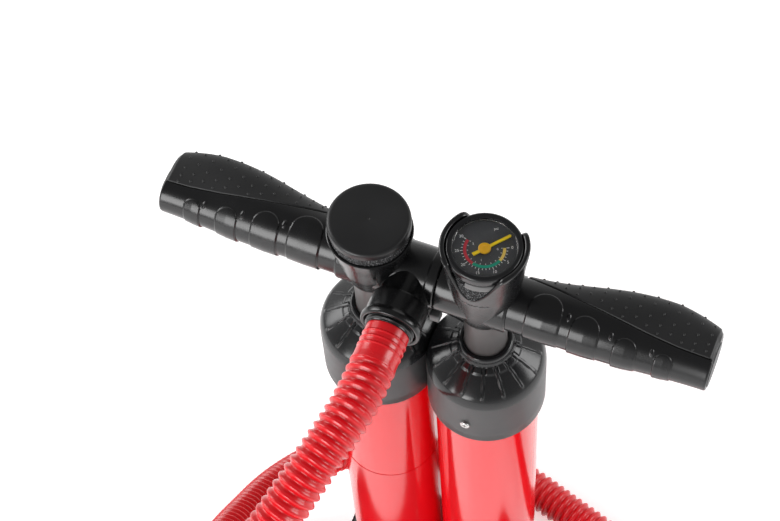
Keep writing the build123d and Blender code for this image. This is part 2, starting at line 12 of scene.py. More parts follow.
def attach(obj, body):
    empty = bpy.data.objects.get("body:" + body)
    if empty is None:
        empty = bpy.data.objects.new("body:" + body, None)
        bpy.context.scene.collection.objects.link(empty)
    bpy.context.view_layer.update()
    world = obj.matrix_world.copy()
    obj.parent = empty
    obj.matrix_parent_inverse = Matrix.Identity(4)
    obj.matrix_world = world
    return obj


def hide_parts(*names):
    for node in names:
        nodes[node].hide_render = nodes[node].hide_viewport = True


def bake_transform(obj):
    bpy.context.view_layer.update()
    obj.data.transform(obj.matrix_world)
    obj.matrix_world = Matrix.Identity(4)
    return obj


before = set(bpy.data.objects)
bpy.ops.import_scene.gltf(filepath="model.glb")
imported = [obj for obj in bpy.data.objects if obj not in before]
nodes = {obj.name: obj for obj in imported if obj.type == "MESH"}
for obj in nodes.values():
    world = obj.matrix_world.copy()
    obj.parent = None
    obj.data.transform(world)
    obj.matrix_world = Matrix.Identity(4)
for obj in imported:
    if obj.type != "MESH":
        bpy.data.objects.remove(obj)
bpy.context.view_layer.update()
MM = 0.001

# Distance of each barrel from the middle, height of the bar's axis, place of the outlet along it.
AXIS_X = 45.25
BAR_Z = 593.0
OUTLET_X = -11.0

CAMERA_AZIMUTH = 26.45
CAMERA_ELEVATION = 61.14
CAMERA_ROLL = -5.32
CAMERA_PLACE = (0.32535, -0.71633, 2.04852)
CAMERA_LENS = 101.97
SENSOR_WIDTH = 36


# ---- camera -------------------------------------------------------------
def make_camera():
    azimuth, elevation, roll = [radians(v) for v in (CAMERA_AZIMUTH, CAMERA_ELEVATION, CAMERA_ROLL)]
    back = Vector((sin(azimuth) * cos(elevation), -cos(azimuth) * cos(elevation), sin(elevation)))
    level = Vector((cos(azimuth), sin(azimuth), 0))
    upward = back.cross(level)
    right = level * cos(roll) + upward * sin(roll)
    up = upward * cos(roll) - level * sin(roll)
    data = bpy.data.cameras.new("camera")
    data.lens = CAMERA_LENS
    data.sensor_width = SENSOR_WIDTH
    camera = bpy.data.objects.new("camera", data)
    bpy.context.scene.collection.objects.link(camera)
    place = Matrix((right, up, back)).transposed().to_4x4()
    place.translation = Vector(CAMERA_PLACE)
    camera.matrix_world = place
    bpy.context.scene.camera = camera


make_camera()

# ---- materials ----------------------------------------------------------
# Colour sockets of Blender's Mix node: its two inputs and its result.
MIX_FIRST = 6
MIX_SECOND = 7
MIX_RESULT = 2


def shader(name, color, roughness, metallic=0.0, **sockets):
    """New material with its Principled shader set."""
    material = bpy.data.materials.new(name)
    material.use_nodes = True
    bsdf = material.node_tree.nodes["Principled BSDF"]
    bsdf.inputs["Base Color"].default_value = (*color, 1)
    bsdf.inputs["Roughness"].default_value = roughness
    bsdf.inputs["Metallic"].default_value = metallic
    for socket, value in sockets.items():
        bsdf.inputs[socket.replace("_", " ")].default_value = value
    return material, bsdf


def noise_node(tree, scale, detail=4.0, stretch=(1, 1, 1)):
    """Noise in the object's own coordinates."""
    coords = tree.nodes.new("ShaderNodeTexCoord")
    mapping = tree.nodes.new("ShaderNodeMapping")
    mapping.inputs["Scale"].default_value = stretch
    texture = tree.nodes.new("ShaderNodeTexNoise")
    texture.inputs["Scale"].default_value = scale
    texture.inputs["Detail"].default_value = detail
    tree.links.new(coords.outputs["Object"], mapping.inputs["Vector"])
    tree.links.new(mapping.outputs["Vector"], texture.inputs["Vector"])
    return texture


def spread(tree, texture, low, high):
    """Noise spread between two values."""
    ranged = tree.nodes.new("ShaderNodeMapRange")
    ranged.inputs["From Min"].default_value = 0.3
    ranged.inputs["From Max"].default_value = 0.7
    ranged.inputs["To Min"].default_value = low
    ranged.inputs["To Max"].default_value = high
    tree.links.new(texture.outputs["Fac"], ranged.inputs["Value"])
    return ranged.outputs["Result"]


def surface(
    name, color, roughness, grain=1500.0, depth=0.02, vary=0.06, tint=0.12, patch=22.0,
    stretch=(1, 1, 1), **more,
):
    """Moulded or painted surface: a fine grain in its bump, slow changes in gloss and shade."""
    material, bsdf = shader(name, color, roughness, **more)
    tree = material.node_tree
    slow = noise_node(tree, patch, 3.0)
    gloss = spread(tree, slow, max(0.02, roughness - vary), roughness + vary)
    tree.links.new(gloss, bsdf.inputs["Roughness"])
    mix = tree.nodes.new("ShaderNodeMix")
    mix.data_type = "RGBA"
    mix.inputs[MIX_FIRST].default_value = (*[c * (1 - tint) for c in color], 1)
    mix.inputs[MIX_SECOND].default_value = (*[min(1, c * (1 + tint) + 0.001) for c in color], 1)
    tree.links.new(slow.outputs["Fac"], mix.inputs["Factor"])
    tree.links.new(mix.outputs[MIX_RESULT], bsdf.inputs["Base Color"])
    fine = noise_node(tree, grain, 4.0, stretch)
    bump = tree.nodes.new("ShaderNodeBump")
    bump.inputs["Strength"].default_value = 1.0
    bump.inputs["Distance"].default_value = depth * MM
    tree.links.new(fine.outputs["Fac"], bump.inputs["Height"])
    tree.links.new(bump.outputs["Normal"], bsdf.inputs["Normal"])
    return material


def clear_lens():
    """Clear plastic with a slightly uneven polish."""
    material, bsdf = shader("lens_clear", (1, 1, 1), 0.02, Transmission_Weight=1.0, IOR=1.25)
    tree = material.node_tree
    tree.links.new(spread(tree, noise_node(tree, 30.0), 0.01, 0.03), bsdf.inputs["Roughness"])
    return material


def speckle(material, color, scale):
    """Lighter specks where open cells catch the light."""
    tree = material.node_tree
    base = tree.nodes["Principled BSDF"].inputs["Base Color"]
    cells = noise_node(tree, scale, 2.0)
    mix = tree.nodes.new("ShaderNodeMix")
    mix.data_type = "RGBA"
    mix.inputs[MIX_SECOND].default_value = (*color, 1)
    ranged = tree.nodes.new("ShaderNodeMapRange")
    ranged.inputs["From Min"].default_value = 0.53
    ranged.inputs["From Max"].default_value = 0.66
    tree.links.new(cells.outputs["Fac"], ranged.inputs["Value"])
    tree.links.new(base.links[0].from_socket, mix.inputs[MIX_FIRST])
    tree.links.new(ranged.outputs["Result"], mix.inputs["Factor"])
    tree.links.new(mix.outputs[MIX_RESULT], base)


RED = (0.74, 0.003, 0.008)
FILM_RED = (0.72, 0.004, 0.010)
HOSE_RED = (0.70, 0.004, 0.010)
ROD_GREY = (0.085, 0.078, 0.077)

# Noise drawn out along the rods.
DRAWN = (1, 1, 0.02)
MAT = {
    "barrel": surface("barrel_red", RED, 0.10, 500, 0.004, 0.03, 0.04, Coat_Weight=0.05, Coat_Roughness=0.06),
    "film": surface(
        "wrap_film", FILM_RED, 0.13, 500, 0.006, 0.03, 0.05, Coat_Weight=0.05, Coat_Roughness=0.1,
    ),
    "cap": surface("cap_black", (0.006, 0.0062, 0.007), 0.2, 1800, 0.008, 0.05),
    "skirt": surface("skirt_satin", (0.030, 0.030, 0.031), 0.42, 1800, 0.012, 0.05),
    "cup": surface("cup_satin", (0.006, 0.006, 0.0065), 0.24, 1600, 0.010, 0.05),
    "knob": surface("knob_matt", (0.008, 0.008, 0.0085), 0.42, 1700, 0.018, 0.05),
    "foam": surface("foam_black", (0.016, 0.016, 0.017), 0.85, 900, 0.9, 0.08, 0.6, 160.0),
    "core": surface("grip_core_gloss", (0.005, 0.005, 0.0055), 0.24, 1400, 0.010, 0.06),
    "pad": surface("grip_pad_soft", (0.007, 0.007, 0.0075), 0.48, 2200, 0.02, 0.06),
    "rod": surface("rod_grey", ROD_GREY, 0.36, 900, 0.006, 0.05, 0.05, 15.0, DRAWN, metallic=0.25),
    "hose": surface(
        "hose_red", HOSE_RED, 0.27, 700, 0.02, 0.06, 0.06, 40.0, Coat_Weight=0.15, Coat_Roughness=0.15,
    ),
    "steel": surface("screw_steel", (0.62, 0.61, 0.6), 0.22, 1200, 0.006, 0.06, 0.1, metallic=1.0),
    "rubber": surface("rubber_black", (0.02, 0.02, 0.021), 0.7, 1500, 0.03),
    "foot": surface("foot_satin", (0.016, 0.016, 0.017), 0.42, 1300, 0.03, 0.06),
    "brass": surface("brass", (0.66, 0.48, 0.2), 0.28, 900, 0.006, metallic=1.0),
    "white": surface("white_plastic", (0.74, 0.74, 0.71), 0.4, 1300, 0.01),
    "dial": surface("dial_grey", (0.055, 0.058, 0.062), 0.5, 2500, 0.01, 0.05, 0.15, 90.0),
    "tab": surface("tab_grey", (0.13, 0.13, 0.13), 0.45, 1800, 0.015),
    "yellow": surface("needle_yellow", (1.0, 0.70, 0.005), 0.42, 1500, 0.01, 0.05, 0.06),
    "hub": surface("hub_amber", (0.95, 0.50, 0.0), 0.38, 1500, 0.01, 0.05, 0.06),
    "print_white": surface("print_white", (1.0, 1.0, 1.0), 0.5, 2500, 0.004),
    "print_red": surface("print_red", (0.62, 0.03, 0.05), 0.5, 2500, 0.004),
    "print_green": surface("print_green", (0.0, 0.36, 0.22), 0.5, 2500, 0.004),
    "print_amber": surface("print_amber", (0.85, 0.62, 0.12), 0.5, 2500, 0.004),
}
LENS = clear_lens()
speckle(MAT["foam"], (0.3, 0.3, 0.31), 1150.0)

# Looks of the CAD nodes that are shown as they are.
NODE_LOOKS = {
    "barrel": ["barrel_left", "barrel_right"],
    "film": ["label_wrap"],
    "foot": [
        "foot", "rod_plugs", "flap_cages", "selector_stem", "grip_end_plates", "gauge_case", "nozzle",
    ],
    "rubber": [
        "foot_pads", "inlet_flaps", "flap_buttons", "piston_bumpers", "rod_seals", "barrel_gaskets",
        "nozzle_seal", "piston_seals", "piston_flaps", "outlet_seal",
    ],
    "white": ["rod_bushes", "piston_left", "piston_right", "wear_rings"],
    "steel": ["barrel_screws", "rod_screws"],
    "rod": ["rod_left", "rod_right", "grip_tubes"],
    "brass": ["piston_bolts", "gauge_stem", "gauge_movement"],
    "hose": ["nozzle_cuff"],
}


def paint_nodes():
    for look, names in NODE_LOOKS.items():
        for name in names:
            for part_slot in nodes[name].material_slots:
                part_slot.material = MAT[look]


paint_nodes()

# ---- mesh helpers -------------------------------------------------------
# Steps along each rounded corner.
EASE_STEPS = 4


def piece(name, vertices, faces, materials, pick=None, sharp=40):
    """Mesh object from millimetres, smooth but for edges over the sharp angle."""
    mesh = bpy.data.meshes.new(name)
    mesh.from_pydata([(x * MM, y * MM, z * MM) for x, y, z in vertices], [], faces)
    mesh.validate()
    for material in materials:
        mesh.materials.append(material)
    mesh.polygons.foreach_set("use_smooth", [True] * len(mesh.polygons))
    if pick:
        for polygon in mesh.polygons:
            polygon.material_index = pick(polygon.center / MM)
    mesh.update()
    mesh.set_sharp_from_angle(angle=radians(sharp))
    made = bpy.data.objects.new(name, mesh)
    bpy.context.scene.collection.objects.link(made)
    return made


def grid_faces(rows, columns, wrap_rows=False, wrap_columns=True):
    """Quads over rows of points, closed round either way."""
    faces = []
    for i in range(rows if wrap_rows else rows - 1):
        here, above = i * columns, (i + 1) % rows * columns
        for j in range(columns if wrap_columns else columns - 1):
            k = (j + 1) % columns
            faces.append((here + j, here + k, above + k, above + j))
    return faces


def rounded(corners, radius):
    """Closed outline with each corner eased by up to the radius."""
    out = []
    count = len(corners)
    for i, (x, y) in enumerate(corners):
        (px, py), (nx, ny) = corners[i - 1], corners[(i + 1) % count]
        before, after = hypot(px - x, py - y), hypot(nx - x, ny - y)
        size = min(radius, 0.45 * before, 0.45 * after)
        start = (x + (px - x) / before * size, y + (py - y) / before * size)
        end = (x + (nx - x) / after * size, y + (ny - y) / after * size)
        for k in range(EASE_STEPS + 1):
            t = k / EASE_STEPS
            pulls = zip(start, (x, y), end)
            out.append(tuple((1 - t) ** 2 * s + 2 * t * (1 - t) * c + t * t * e for s, c, e in pulls))
    return out


def place_up(x0):
    """Axis along +Z."""
    return lambda r, a, h: (x0 + r * cos(a), r * sin(a), h)


def place_forward(x0, z0):
    """Axis along -Y: the height is the distance in front of the bar's axis."""
    return lambda r, a, h: (x0 + r * cos(a), -h, z0 + r * sin(a))


def place_along(y0, z0):
    """Axis along +X."""
    return lambda r, a, h: (h, y0 + r * cos(a), z0 + r * sin(a))


def turned(name, outline, place, material, columns=128, ease=0.6, change=None, sharp=40):
    """Turned piece from (radius, height) corners.

    change(radius, angle, height) may shift the radius and height.
    """
    profile = rounded(outline, ease)
    points = []
    for r, h in profile:
        for j in range(columns):
            a = 2 * pi * j / columns
            rr, hh = change(r, a, h) if change else (r, h)
            points.append(place(rr, a, hh))
    faces = grid_faces(len(profile), columns, wrap_rows=True)
    return piece(name, points, faces, [material], sharp=sharp)


def block(name, centre, size, ease, material):
    """Box with eased edges."""
    half_x, half_y, half_z = [v / 2 for v in size]
    levels = ((ease, -half_z), (0, -half_z + ease), (0, half_z - ease), (ease, half_z))
    points = []
    for inset, h in levels:
        x, y = half_x - inset, half_y - inset
        outline = rounded([(-x, -y), (x, -y), (x, y), (-x, y)], ease * 1.6)
        points += [(centre[0] + px, centre[1] + py, centre[2] + h) for px, py in outline]
    count = len(outline)
    faces = grid_faces(len(levels), count)
    faces += [tuple(range(count - 1, -1, -1)), tuple(range(len(points) - count, len(points)))]
    return piece(name, points, faces, [material], sharp=60)


def joined(name, parts):
    """One object from several, keeping their materials."""
    target = parts[0]
    with bpy.context.temp_override(
        active_object=target, object=target, selected_editable_objects=parts, selected_objects=parts,
    ):
        bpy.ops.object.join()
    target.name = name
    target.data.name = name
    return target


def stands_for(made, body, slot, *replaced):
    """Puts a piece on its body, in place of the CAD nodes that it replaces."""
    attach(made, body)
    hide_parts(*replaced)


def smooth(edge0, edge1, value):
    """Eased step from 0 at the first edge to 1 at the second."""
    t = min(1.0, max(0.0, (value - edge0) / (edge1 - edge0)))
    return t * t * (3 - 2 * t)


def between(table, x):
    """Straight-line reading of a table of (x, value)."""
    if x <= table[0][0]:
        return table[0][1]
    for (x0, v0), (x1, v1) in zip(table, table[1:]):
        if x <= x1:
            return v0 + (v1 - v0) * (x - x0) / (x1 - x0)
    return table[-1][1]


# ---- hose ---------------------------------------------------------------
HOSE_ROUTE = [
    (OUTLET_X, -86, BAR_Z), (OUTLET_X, -112, BAR_Z), (-16, -139, 590), (-23, -165, 583),
    (-31, -190, 571), (-41, -216, 553), (-54, -240, 529), (-69, -258, 499), (-85, -269, 463),
    (-102, -272, 424), (-118, -266, 385), (-132, -249, 348), (-143, -225, 315), (-151, -198, 282),
    (-157, -168, 250), (-161, -137, 220), (-163, -106, 190), (-163, -75, 160), (-162, -42, 131),
    (-157, -10, 103), (-147, 21, 78), (-129, 51, 57), (-104, 76, 41), (-70, 94, 29), (-30, 104, 21),
    (12, 105, 18.5), (54, 98, 18.5), (94, 85, 18.5), (134, 73, 18.5), (174, 58, 18.5), (211, 37, 18.5),
    (242, 9, 18.5), (267, -26, 18.5), (283, -65, 18.5), (291, -107, 18.5), (291, -148, 18.5),
]
HOSE_R = 18.0
HOSE_STEP = 0.62
HOSE_COLUMNS = 44
RIB_PITCH = 7.4
RIB_DEPTH = 2.9
END_THINNER = 0.8


def spline_points(route):
    """Points of one smooth NURBS curve through the route's pull."""
    data = bpy.data.curves.new("hose_line", "CURVE")
    data.dimensions = "3D"
    data.resolution_u = 24
    spline = data.splines.new("NURBS")
    spline.points.add(len(route) - 1)
    for point, (x, y, z) in zip(spline.points, route):
        point.co = (x * MM, y * MM, z * MM, 1)
    spline.order_u = 3
    spline.use_endpoint_u = True
    holder = bpy.data.objects.new("hose_line", data)
    bpy.context.scene.collection.objects.link(holder)
    mesh = bpy.data.meshes.new_from_object(holder)
    line = [v.co / MM for v in mesh.vertices]
    bpy.data.objects.remove(holder)
    return line


def evenly(line, step):
    """Points at even distances along the line, and the line's length."""
    out, run, carried = [], 0.0, 0.0
    for a, b in zip(line, line[1:]):
        length = (b - a).length
        while carried <= run + length and length > 0:
            out.append(a.lerp(b, (carried - run) / length))
            carried += step
        run += length
    return out, run


def hose_radius(s, total):
    """Ribbed wall: round crests with narrow grooves, plain and a little thinner in the two cuffs."""
    phase = (s % RIB_PITCH) / RIB_PITCH
    crest = (0.5 + 0.5 * cos(2 * pi * phase)) ** 0.85
    ribbed = smooth(1.0, 4.0, s) * smooth(1.0, 4.0, total - s)
    return HOSE_R - END_THINNER + END_THINNER * ribbed - RIB_DEPTH * (1 - crest) * ribbed


def make_hose():
    line = spline_points(HOSE_ROUTE)
    points, total = evenly(line, HOSE_STEP)
    points.append(line[-1])
    rings = []
    side = Vector((0, 0, 1))
    for i, point in enumerate(points):
        ahead = (points[min(i + 1, len(points) - 1)] - points[max(i - 1, 0)]).normalized()
        side = (side - ahead * side.dot(ahead)).normalized()
        other = ahead.cross(side)
        r = hose_radius(i * HOSE_STEP, total)
        for j in range(HOSE_COLUMNS):
            a = 2 * pi * j / HOSE_COLUMNS
            rings.append(tuple(point + side * (r * cos(a)) + other * (r * sin(a))))
    made = piece("ribbed_hose", rings, grid_faces(len(points), HOSE_COLUMNS), [MAT["hose"]], sharp=80)
    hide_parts("hose")
    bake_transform(made)


make_hose()

# ---- caps ---------------------------------------------------------------
CAP_R = 47.5
CAP_COLUMNS = 640
CAP_GAP = 0.15
GLOSS_Z = 488.5
RIBS = 16
RIB_TURN = 0.1
RIB_RISE = 1.5
STEP_RISE = 0.9
RELIEF_START_R = 22.4
SLOPE_STEPS = 46
SHOULDER = [(0, 487.0), (0.15, 489.3), (0.6, 491.5), (1.2, 493.8), (2.0, 495.9), (2.9, 497.6), (3.6, 498.5)]
COLLAR = [
    (22.6, 514.6), (22.0, 516), (21.6, 519), (21.3, 521.4), (20.7, 522.6), (19.6, 523), (18.2, 523),
    (17.3, 522.6), (17.15, 521), (17.15, 512),
]


def cap_relief(r, a):
    """Height of the ribs and of the step near the collar, over the cap's sloping top."""
    spacing = 2 * pi / RIBS
    off = abs((a / spacing + 0.5) % 1.0 - 0.5) * spacing * r
    rib = 1 - smooth(0.75, 1.5, off)
    fade = 1 - smooth(42.5, 43.9, r)
    inside = smooth(RELIEF_START_R, 23.2, r)
    step = STEP_RISE * (1 - smooth(27.0, 28.2, r)) * smooth(1.2, 2.6, off)
    return inside * (RIB_RISE * rib * fade + step)


def cap_outline():
    """(radius, height) up the skirt, over the shoulder (insets from the skirt) and up to the collar."""
    outline = [(42.1, 431.5), (46.9, 431.5), (CAP_R, 432.2), (CAP_R, 445), (CAP_R, 470)]
    outline += [(CAP_R - inset, z) for inset, z in SHOULDER]
    for k in range(SLOPE_STEPS + 1):
        outline.append((43.4 - 20.4 * k / SLOPE_STEPS, 499.0 + 14.6 * (k / SLOPE_STEPS) ** 0.92))
    return outline + COLLAR


def make_cap(word, side):
    """Cap of one barrel, cut flat where it meets the other cap."""
    outline = cap_outline()
    points = []
    for r, h in outline:
        for j in range(CAP_COLUMNS):
            a = 2 * pi * j / CAP_COLUMNS
            lift = cap_relief(r, a + RIB_TURN) if RELIEF_START_R < r < 44 and h > 498 else 0.0
            inward = min(-side * r * cos(a), AXIS_X - CAP_GAP)
            points.append((side * (AXIS_X - inward), r * sin(a), h + lift))
    made = piece(
        "cap_" + word + "_shell", points, grid_faces(len(outline), CAP_COLUMNS),
        [MAT["cap"], MAT["skirt"]], pick=lambda c: 1 if c.z < GLOSS_Z else 0, sharp=50,
    )
    stands_for(made, "pump", "gloss_black", "cap_" + word)


make_cap("left", -1)
make_cap("right", 1)

# ---- grips --------------------------------------------------------------
GRIP_R = 20.8
GRIP_TAPER = 3.8
GRIP_START = 68.0
GRIP_END = {-1: 214.0, 1: 220.0}
CORE_COLUMNS = 300
CORE_STEP = 0.5

# The palm rest's lobe: the angle it points to, its width in degrees and its reach at full size.
WING_ANGLE = 10
WING_WIDTH = 38.0
WING_REACH = 24.5

# The soft pad lies between SEAM_BACK and the angle that SEAM gives for each place along the grip.
PAD_START = 72.0
PAD_RISE = 0.35
PAD_BED = 1.6
PAD_ROWS = 240
PAD_COLUMNS = 150
SEAM = [(72, 38), (90, 50), (111, 62), (143, 77), (170, 88), (195, 95), (220, 97)]
SEAM_BACK = -48.0

# Each closing ring of a grip's end: its share of the last section, and how far out it lies.
CORE_CLOSING = ((0.985, 0.8), (0.95, 1.3), (0.90, 1.5))
PAD_CLOSING = ((0.97, 0.8), (0.93, 1.3), (0.88, 1.6))

# Arches as (place along the grip, angle of the top, half width), crescents as (place, angle).
ARCHES = [(95.0, 74.0, 12.5), (127.0, 94.0, 10.5), (158.5, 112.0, 8.4), (187.5, 119.0, 6.4)]
ARCH_RISE = 1.25
ARCH_FALL = 0.55
ARCH_FADE = (1.06, 0.99)
CRESCENTS = [(113.0, 108.0), (146.5, 117.0), (178.0, 124.0)]
CRESCENT_RISE = 0.9

# Dots of the pad: points round each, radius, height, and rings as shares of those two.
DOT_SIDES = 10
DOT_R = 1.05
DOT_RISE = 0.85
DOT_RINGS = ((1.15, -0.15), (0.95, 0.25), (0.62, 0.75), (0.25, 0.98))
DOT_PITCH = 9.3
DOT_SPACING = 11.0


def ramp(x, start, end):
    """Rise from 0 to 1 between two places, along a half wave."""
    return 0.5 - 0.5 * cos(pi * min(1.0, max(0.0, (x - start) / (end - start))))


def wing_size(x):
    """Share of the palm rest's reach at a place along the grip."""
    return 0.07 + 0.76 * ramp(x, 60, 190) - 0.3 * max(0.0, (x - 180.0) / 40.0) ** 2


def grip_radius(x, angle):
    turn = (angle - WING_ANGLE + 180) % 360 - 180
    lobe = exp(-((turn / WING_WIDTH) ** 2))
    return GRIP_R - GRIP_TAPER * ramp(x, 130, 220) + WING_REACH * wing_size(x) * lobe


def arch_height(x, angle):
    """Raised arches on the front of the grip, with their feet running round underneath."""
    up = 0.0
    for centre, top, half in ARCHES:
        s = (x - centre) / half
        if abs(s) < ARCH_FADE[0]:
            crown = top + degrees(half / GRIP_R) * (1 - sqrt(max(0.0, 1 - s * s)))
            inside = smooth(-1.6, 1.6, angle - crown) * smooth(*ARCH_FADE, abs(s))
            up = max(up, inside * (ARCH_RISE - ARCH_FALL * max(0.0, s)))
    for centre, middle in CRESCENTS:
        off = angle - middle
        distance = hypot(x - centre - 0.035 * off, off * 0.16)
        up = max(up, CRESCENT_RISE * (1 - smooth(0.9, 1.6, distance)))
    return up * (1 - smooth(255, 290, angle))


def grip_point(side, x, angle, radius):
    return (side * x, radius * cos(radians(angle)), BAR_Z + radius * sin(radians(angle)))


def closing_rings(row, side, rings):
    """The last row of a grip's points, drawn in towards the bar's axis in steps."""
    out = []
    for share, beyond in rings:
        x = side * (GRIP_END[side] + beyond)
        out += [(x, y * share, BAR_Z + (z - BAR_Z) * share) for _, y, z in row]
    return out


def make_core(word, side):
    """Hard core of a grip, with a bed for the pad and the arches in front."""
    steps = int((GRIP_END[side] - GRIP_START) / CORE_STEP)
    points = []
    for i in range(steps + 1):
        x = GRIP_START + CORE_STEP * i
        seam = between(SEAM, x)
        for j in range(CORE_COLUMNS):
            angle = -90 + 360 * j / CORE_COLUMNS
            covered = smooth(SEAM_BACK - 2, SEAM_BACK + 2, angle)
            covered *= 1 - smooth(seam - 2.0, seam + 0.6, angle)
            bed = PAD_BED * covered if x > PAD_START - 1 else 0.0
            r = grip_radius(x, angle) - bed + arch_height(x, angle)
            points.append(grip_point(side, x, angle, r))
    points += closing_rings(points[-CORE_COLUMNS:], side, CORE_CLOSING)
    faces = grid_faces(len(points) // CORE_COLUMNS, CORE_COLUMNS)
    faces.append(tuple(range(len(points) - CORE_COLUMNS, len(points))))
    made = piece("grip_core_" + word + "_moulded", points, faces, [MAT["core"]], sharp=60)
    stands_for(made, "handle", "gloss_black", "grip_core_" + word)


def pad_dots(side):
    """Places and directions of the raised dots, in staggered rows over the palm rest."""
    for k in range(15):
        x = 84.0 + DOT_PITCH * k
        for m in range(9):
            arc = 46.0 - DOT_SPACING * m - (DOT_SPACING / 2 if k % 2 else 0.0)
            angle = 40.0 + arc / 0.62
            if angle > between(SEAM, x) - 7 or angle < -20 or x > GRIP_END[side] - 5:
                continue
            here, along, around = [
                Vector(grip_point(side, px, turn, grip_radius(px, turn) + PAD_RISE))
                for px, turn in ((x, angle), (x + 1, angle), (x, angle + 2))
            ]
            normal = (along - here).cross(around - here).normalized()
            if normal.dot(here - Vector((here.x, 0, BAR_Z))) < 0:
                normal = -normal
            yield here, normal


def dome(centre, normal, first):
    """Small raised dot on a surface, its points numbered from the first."""
    side = normal.orthogonal().normalized()
    other = normal.cross(side)
    points = []
    for share, lift in DOT_RINGS:
        for j in range(DOT_SIDES):
            a = 2 * pi * j / DOT_SIDES
            out = side * cos(a) + other * sin(a)
            points.append(tuple(centre + out * (DOT_R * share) + normal * (DOT_RISE * lift)))
    faces = grid_faces(len(DOT_RINGS), DOT_SIDES)
    faces.append(tuple(range(len(points) - DOT_SIDES, len(points))))
    return points, [tuple(first + v for v in face) for face in faces]


def make_pad(word, side):
    """Soft pad of a grip: its edges dip into the bed, and its top carries the dots."""
    end = GRIP_END[side]
    points = []
    for i in range(PAD_ROWS + 1):
        x = PAD_START + (end - PAD_START) * i / PAD_ROWS
        width = between(SEAM, x) - SEAM_BACK
        for j in range(PAD_COLUMNS + 1):
            t = j / PAD_COLUMNS
            angle = SEAM_BACK + width * t
            r = grip_radius(x, angle) + PAD_RISE
            rim = min(t * width, (1 - t) * width) * radians(1) * r
            r -= 2.1 * (1 - smooth(0.0, 1.5, rim))
            r -= 1.7 * (1 - smooth(0.0, 1.6, end - x + 0.1)) + 1.7 * (1 - smooth(0.0, 2.0, x - PAD_START))
            points.append(grip_point(side, x, angle, r))
    count = PAD_COLUMNS + 1
    points += closing_rings(points[-count:], side, PAD_CLOSING)
    faces = grid_faces(len(points) // count, count, wrap_columns=False)
    for here, normal in pad_dots(side):
        dot_points, dot_faces = dome(here, normal, len(points))
        points += dot_points
        faces += dot_faces
    made = piece("grip_pad_" + word + "_soft", points, faces, [MAT["pad"]], sharp=60)
    stands_for(made, "handle", "soft_black", "grip_pad_" + word)


for grip_word, grip_side in (("left", -1), ("right", 1)):
    make_core(grip_word, grip_side)
    make_pad(grip_word, grip_side)

# ---- cups ---------------------------------------------------------------
# Outside of each cup as (height, radius), from the bottom to the rim.
CUP_WALLS = {
    -1: (
        (574, 20.4), (577.2, 21.4), (583, 22.6), (589, 24.0), (595, 25.5), (604.5, 27.2), (614, 28.9),
        (624, 30.9), (631, 32.2), (634.7, 32.8),
    ),
    1: (
        (574, 20.4), (578, 21.4), (584, 22.7), (593, 24.0), (602, 25.2), (613, 26.8), (624, 28.4),
        (634, 29.4), (643, 30.2), (654, 31.5), (666, 33.0),
    ),
}
CUP_BOTTOM = 574.0
CUP_COLUMNS = 288
CUP_LEVELS = 30
CAVITY = {-1: 30.4, 1: 27.4}
CAVITY_FLOOR = 614.0
INSIDE_SHARES = (0.06, 0.12, 0.2, 0.3, 0.6, 1.0)
RIM_LEFT = 634.7

# Rim of the right cup as (azimuth, height): a notch in front and a lower stretch at the back.
RIM_RIGHT = [
    (-180, 667.5), (-140, 667.5), (-128, 665.5), (-121, 656), (-114, 648), (-106, 640.5), (-98, 636),
    (-91, 634.6), (-84, 636), (-76, 640), (-67, 647.5), (-60, 655), (-53, 662.5), (-47, 666.5),
    (-38, 667.5), (36, 667.5), (43, 665.5), (48, 660), (52, 652), (125, 652), (130, 660), (135, 665.5),
    (142, 667.5), (180, 667.5),
]
RIM_SOFTENING = (-3.0, -1.5, 0.0, 1.5, 3.0)

# Over the rim: the inset, where 3 is the whole wall, and the drop from the top.
RIM_STEPS = ((0.25, 0.5), (0.9, 0.08), (1.7, 0.0), (2.5, 0.1), (3.0, 0.6))

# The stub of the bar on each cup, from near the middle out to the grip.
STUB_R = 23.0
STUB_INNER = {-1: -19.0, 1: 12.0}
STUB_OUTER = 68


def rim_height(side, a):
    if side < 0:
        return RIM_LEFT
    azimuth = (degrees(a) + 180) % 360 - 180
    readings = [between(RIM_RIGHT, (azimuth + off + 180) % 360 - 180) for off in RIM_SOFTENING]
    return sum(readings) / len(readings)


def pocket(side, z):
    """Inside radius of the cup: the right one opens round the gauge's bezel."""
    return CAVITY[side] + (1.8 * smooth(652.0, 656.0, z) if side > 0 else 0.0)


def cup_section(side, rim):
    """(radius, height) of a cup's wall where its rim has this height: outside, rim, then inside."""
    walls = CUP_WALLS[side]
    section = [(17.2, CUP_BOTTOM + 0.4), (18.4, CUP_BOTTOM), (19.6, CUP_BOTTOM)]
    under = rim - 1.2
    for k in range(CUP_LEVELS + 1):
        z = CUP_BOTTOM + 0.8 + (under - CUP_BOTTOM - 0.8) * k / CUP_LEVELS
        section.append((between(walls, z), z))
    outer, inner = between(walls, rim), pocket(side, rim)
    section += [(outer - inset * (outer - inner) / 3.0, rim - drop) for inset, drop in RIM_STEPS]
    high = rim - 1.0
    for share in INSIDE_SHARES:
        z = high + (CAVITY_FLOOR - high) * share
        section.append((min(pocket(side, z), between(walls, z) - 2.0), z))
    return section


